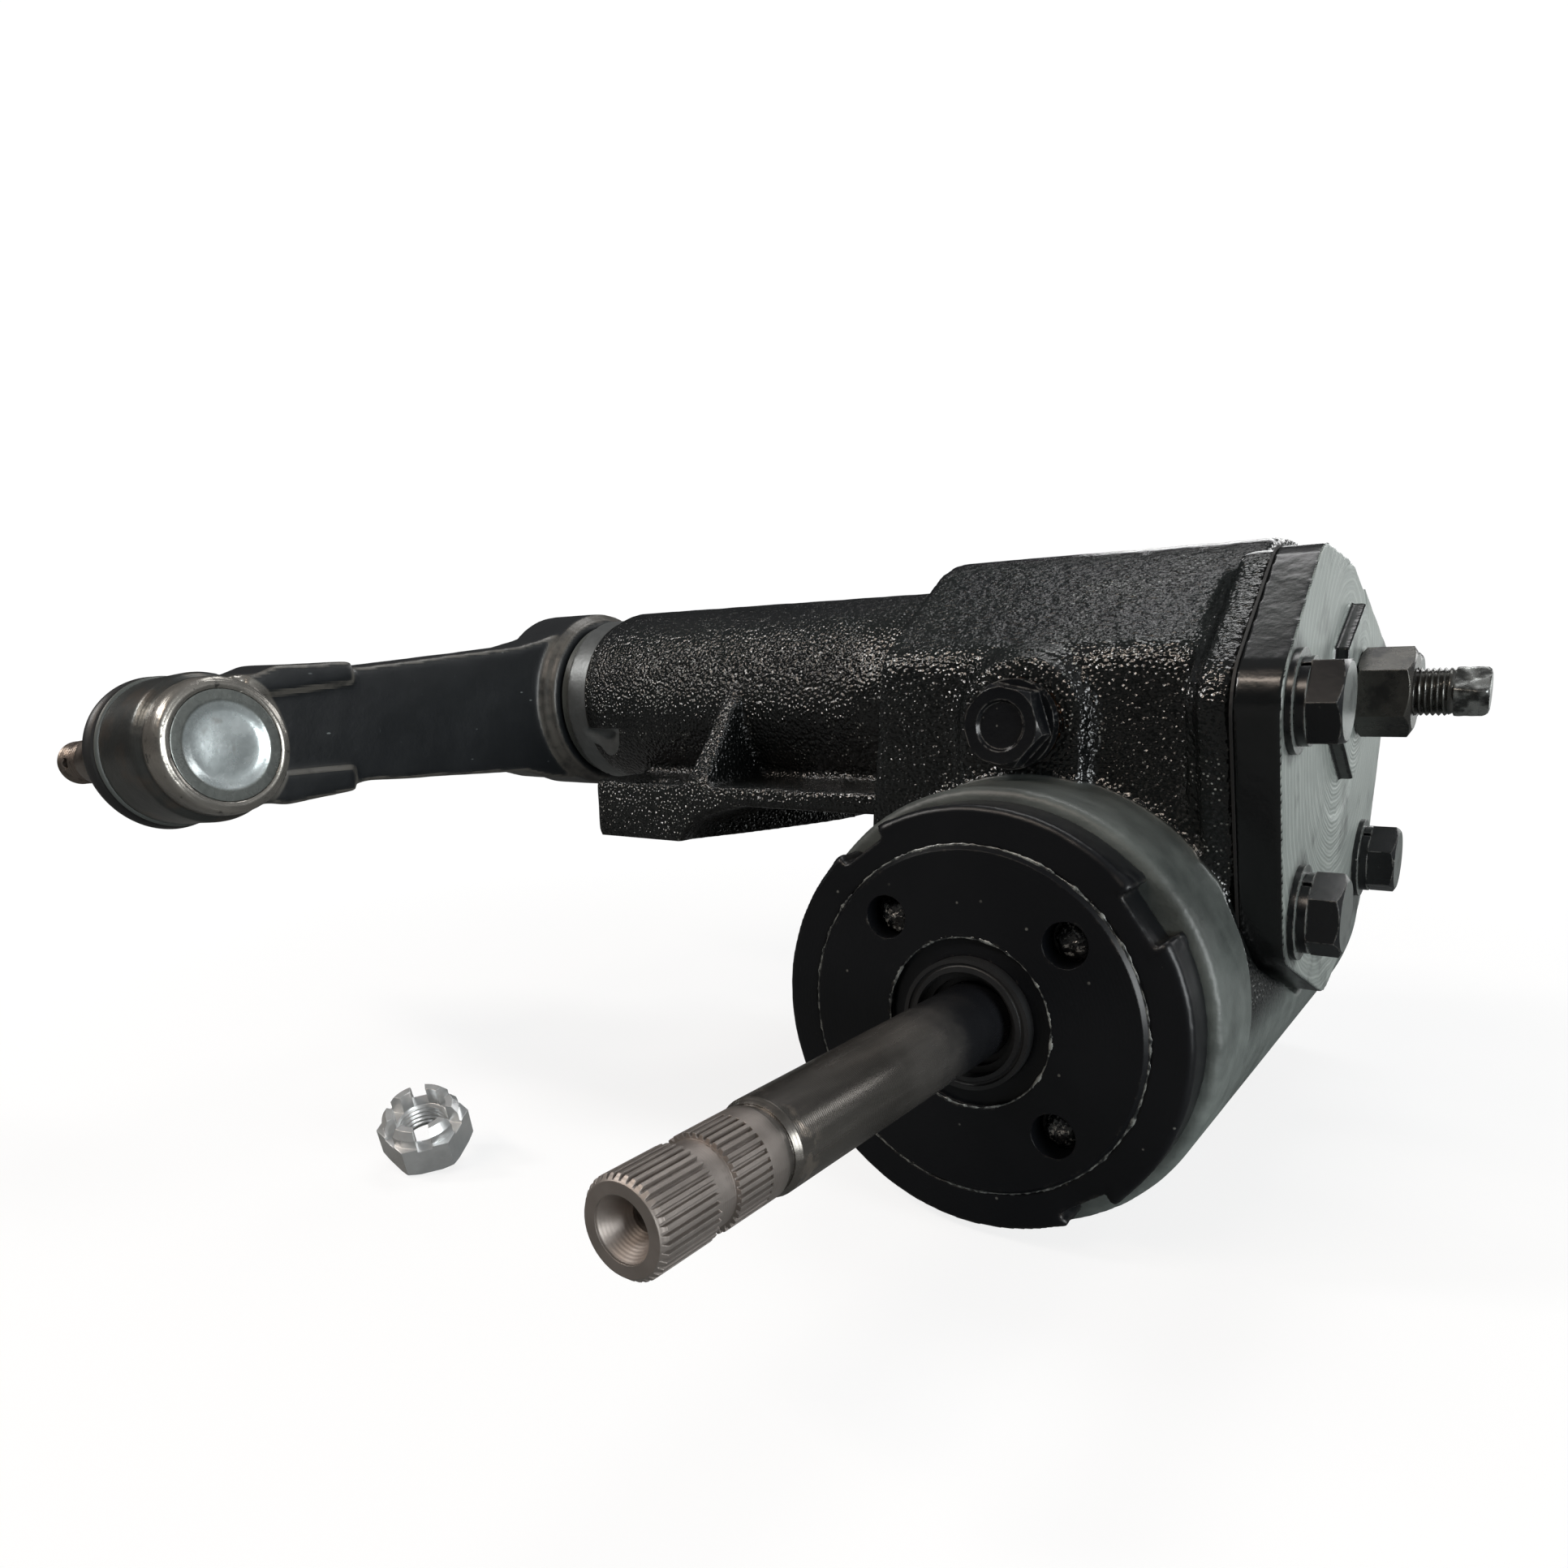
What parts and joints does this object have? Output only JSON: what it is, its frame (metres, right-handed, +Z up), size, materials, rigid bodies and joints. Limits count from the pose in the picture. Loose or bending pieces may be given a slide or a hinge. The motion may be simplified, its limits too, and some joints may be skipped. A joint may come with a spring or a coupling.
{
  "type": "worm gearbox",
  "caption": "Manual steering worm gearbox with a splined input shaft, long sector-shaft tube, mounting foot, pitman arm with ball joint and side cover with lash screw.",
  "frame": {"origin": "on the foot's machined mounting face, midway between its two bolt holes", "axes": "+X along the sector shaft towards the side cover, -Y the way the input shaft leaves, +Z up"},
  "size_m": [0.3213, 0.2547, 0.1364],
  "materials": {
    "casting_paint": "gloss black paint over a pebbled iron casting",
    "cover_paint": "black paint over a face-turned iron cover",
    "gasket": "dark fibre gasket edge",
    "bolt_black": "black painted hex bolts",
    "smooth_black": "smooth gloss black over turned steel",
    "seal_rubber": "moulded nitrile rubber",
    "bearing_steel": "ground bearing steel",
    "ball_steel": "polished balls",
    "bush_bronze": "bronze",
    "plug_black": "gloss black painted hex plug",
    "copper_washer": "soft copper washer",
    "oxide_steel": "dark brown oxide finish",
    "bright_zinc": "bright zinc plating",
    "shaft_steel": "turned steel, dark near the seal, brown-grey at the splines",
    "forged_steel": "machined steel",
    "arm_black": "satin black forging, burnished socket",
    "cap_zinc": "pressed zinc-plated cap",
    "seat_plastic": "acetal seat",
    "stud_steel": "machined steel with a light brown tint"
  },
  "bodies": {
    "gear_case": {"housing": "casting_paint", "side_cover": "cover_paint", "cover_gasket": "gasket", "cover_bolts": "bolt_black", "cover_lock_washers": "bolt_black", "cover_flat_washers": "bolt_black", "bearing_adjuster": "smooth_black", "adjuster_lock_ring": "smooth_black", "input_seal": "seal_rubber", "upper_bearing_cup": "bearing_steel", "lower_bearing_cup": "bearing_steel", "sector_bush_outer": "bush_bronze", "sector_bush_inner": "bush_bronze", "cover_bush": "bush_bronze", "sector_seal": "seal_rubber", "filler_plug": "plug_black", "filler_plug_washer": "copper_washer", "lash_locknut": "oxide_steel", "castle_nut": "bright_zinc"},
    "worm": {"worm_shaft": "shaft_steel"},
    "upper_cage": {"upper_bearing_cage": "bush_bronze", "upper_bearing_balls": "ball_steel"},
    "lower_cage": {"lower_bearing_cage": "bush_bronze", "lower_bearing_balls": "ball_steel"},
    "nut": {"ball_nut": "forged_steel", "nut_balls": "ball_steel", "ball_guides": "bright_zinc", "guide_clamp": "forged_steel", "guide_clamp_screws": "bright_zinc"},
    "sector": {"sector_shaft": "forged_steel", "pitman_arm": "arm_black", "arm_nut": "oxide_steel", "arm_lock_washer": "oxide_steel", "socket_cap": "cap_zinc", "inner_ball_seat": "seat_plastic", "outer_ball_seat": "seat_plastic", "seat_spring": "bearing_steel", "boot_ring": "bright_zinc"},
    "lash_adjuster": {"lash_screw": "oxide_steel", "lash_shim": "bearing_steel"},
    "stud_boot": {"dust_boot": "seal_rubber", "boot_clip": "bright_zinc"},
    "stud": {"ball_stud": "stud_steel"}
  },
  "joints": [
    {"name": "sector_swing", "type": "hinge", "parent": "gear_case", "child": "sector", "pos_m": [0.118, 0, 0.0365], "axis": [1, 0, 0], "range_deg": [-36, 36]},
    {"name": "nut_travel", "type": "slide", "parent": "gear_case", "child": "nut", "axis": [0, 1, 0], "range_m": [-0.0224, 0.0224]},
    {"name": "worm_spin", "type": "hinge", "parent": "gear_case", "child": "worm", "pos_m": [0.118, 0, -0.023], "axis": [0, 1, 0], "range_deg": [-805, 805]},
    {"name": "upper_cage_spin", "type": "hinge", "parent": "gear_case", "child": "upper_cage", "pos_m": [0.118, -0.06, -0.023], "axis": [0, 1, 0], "range_deg": [-345, 345]},
    {"name": "lower_cage_spin", "type": "hinge", "parent": "gear_case", "child": "lower_cage", "pos_m": [0.118, 0.06, -0.023], "axis": [0, 1, 0], "range_deg": [-345, 345]},
    {"name": "lash_turn", "type": "hinge", "parent": "gear_case", "child": "lash_adjuster", "pos_m": [0.168, 0, 0.0365], "axis": [1, 0, 0], "range_deg": [-180, 180]},
    {"name": "stud_rock", "type": "hinge", "parent": "sector", "child": "stud_boot", "pos_m": [-0.06, -0.1306, 0.0297], "axis": [0, 1, 0], "range_deg": [-15, 15]},
    {"name": "stud_spin", "type": "hinge", "parent": "stud_boot", "child": "stud", "pos_m": [-0.06, -0.1306, 0.0297], "axis": [-0.9971, 0, -0.0767], "range_deg": [-180, 180]}
  ],
  "couplings": [
    {"joint": "nut_travel", "follows": "sector_swing", "m_per_rad": 0.0355},
    {"joint": "worm_spin", "follows": "sector_swing", "ratio": -22.305},
    {"joint": "upper_cage_spin", "follows": "sector_swing", "ratio": -9.3682},
    {"joint": "lower_cage_spin", "follows": "sector_swing", "ratio": -9.3682}
  ]
}
